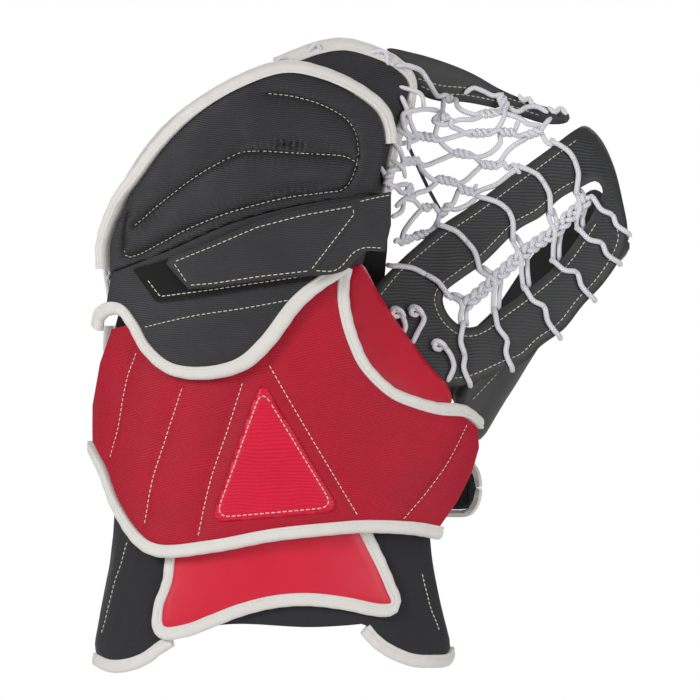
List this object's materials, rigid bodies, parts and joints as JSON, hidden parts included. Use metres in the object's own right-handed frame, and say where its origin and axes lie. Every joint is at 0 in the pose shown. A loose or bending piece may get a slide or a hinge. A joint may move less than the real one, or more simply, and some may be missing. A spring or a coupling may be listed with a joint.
{
  "type": "goalie catch glove",
  "caption": "Left-hand ice hockey goalie catch glove with a laced double-T trap, a net pocket, a padded back and a one-piece wrist cuff.",
  "frame": {"origin": "middle of the wrist opening, where the hand goes in", "axes": "+Z along the fingers, +X towards the thumb, +Y from the back of the hand towards the palm"},
  "size_m": [0.3484, 0.1947, 0.4058],
  "materials": {
    "black_nylon": "ribbed nylon weave",
    "black_leather": "grained synthetic leather",
    "thumb_leather": "smooth synthetic leather",
    "red_nylon": "ribbed nylon weave",
    "red_synthetic": "smooth coated synthetic",
    "emblem_red": "ribbed moulded synthetic",
    "white_binding": "folded synthetic binding",
    "white_lace": "braided lace",
    "liner_knit": "knitted lining",
    "foam": "closed-cell foam",
    "plastic_board": "moulded polyethylene board",
    "hook_and_loop": "hook and loop pile"
  },
  "bodies": {
    "hand": {"back_pad": "black_nylon", "back_pad_binding": "white_binding", "finger_board": "plastic_board", "finger_guard": "black_nylon", "finger_guard_binding": "white_binding", "wrist_flap": "black_nylon", "wrist_flap_binding": "white_binding", "loop_patch": "hook_and_loop", "palm_leather": "black_leather", "palm_leather_binding": "white_binding", "palm_foam": "foam", "side_gusset": "black_nylon", "little_finger_stall": "liner_knit", "ring_finger_stall": "liner_knit", "middle_finger_stall": "liner_knit", "index_finger_stall": "liner_knit", "thumb_web_pad": "red_synthetic", "finger_rim": "black_leather", "pocket_edge": "black_leather", "finger_net_lace": "white_lace", "little_finger_lace": "white_lace"},
    "trap": {"trap": "black_leather", "upper_strap_lace": "white_lace", "lower_strap_lace": "white_lace", "slot_lace": "white_lace", "trap_knot_lace_1": "white_lace", "trap_knot_lace_2": "white_lace", "trap_knot_lace_3": "white_lace"},
    "thumb": {"thumb_pad": "thumb_leather", "thumb_board": "plastic_board", "thumb_palm_leather": "black_leather", "thumb_rim": "black_leather"},
    "cuff": {"cuff_shell": "red_nylon", "cuff_thumb_binding": "white_binding", "cuff_bottom_binding": "white_binding", "cuff_board": "plastic_board", "cuff_emblem": "emblem_red", "cuff_tab": "red_synthetic", "cuff_tab_binding": "white_binding", "wrist_liner": "liner_knit", "liner_binding_left": "white_binding", "liner_binding_right": "white_binding", "palm_heel": "black_leather", "palm_heel_binding": "white_binding", "wrist_strap_anchor": "black_nylon"},
    "hand_strap": {"hand_strap": "black_nylon", "hand_strap_label": "black_nylon", "hand_strap_hook": "hook_and_loop"},
    "wrist_strap": {"wrist_strap": "black_nylon", "wrist_strap_hook": "hook_and_loop", "wrist_strap_top_binding": "white_binding", "wrist_strap_foot_binding": "white_binding"}
  },
  "joints": [
    {"name": "trap_fold", "type": "hinge", "parent": "hand", "child": "trap", "pos_m": [0.061, -0.0015, 0.215], "axis": [0.7481, 0.2149, 0.6278], "range_deg": [0, 25]},
    {"name": "thumb_fold", "type": "hinge", "parent": "trap", "child": "thumb", "pos_m": [0.115, 0.008, 0.15066], "axis": [0.7481, 0.2149, 0.6278], "range_deg": [0, 35]},
    {"name": "cuff_flex", "type": "hinge", "parent": "hand", "child": "cuff", "pos_m": [0, -0.025, 0.225], "axis": [1, 0, 0], "range_deg": [0, 8]},
    {"name": "hand_strap_peel", "type": "hinge", "parent": "hand", "child": "hand_strap", "pos_m": [0.079, -0.051, 0.262], "axis": [0.105, 0, 0.9945], "range_deg": [0, 110]},
    {"name": "wrist_strap_peel", "type": "hinge", "parent": "cuff", "child": "wrist_strap", "pos_m": [-0.0985, 0.034, 0.092], "axis": [0, 0, 1], "range_deg": [0, 100]}
  ],
  "couplings": [
    {"joint": "thumb_fold", "follows": "trap_fold", "ratio": 1.4}
  ]
}
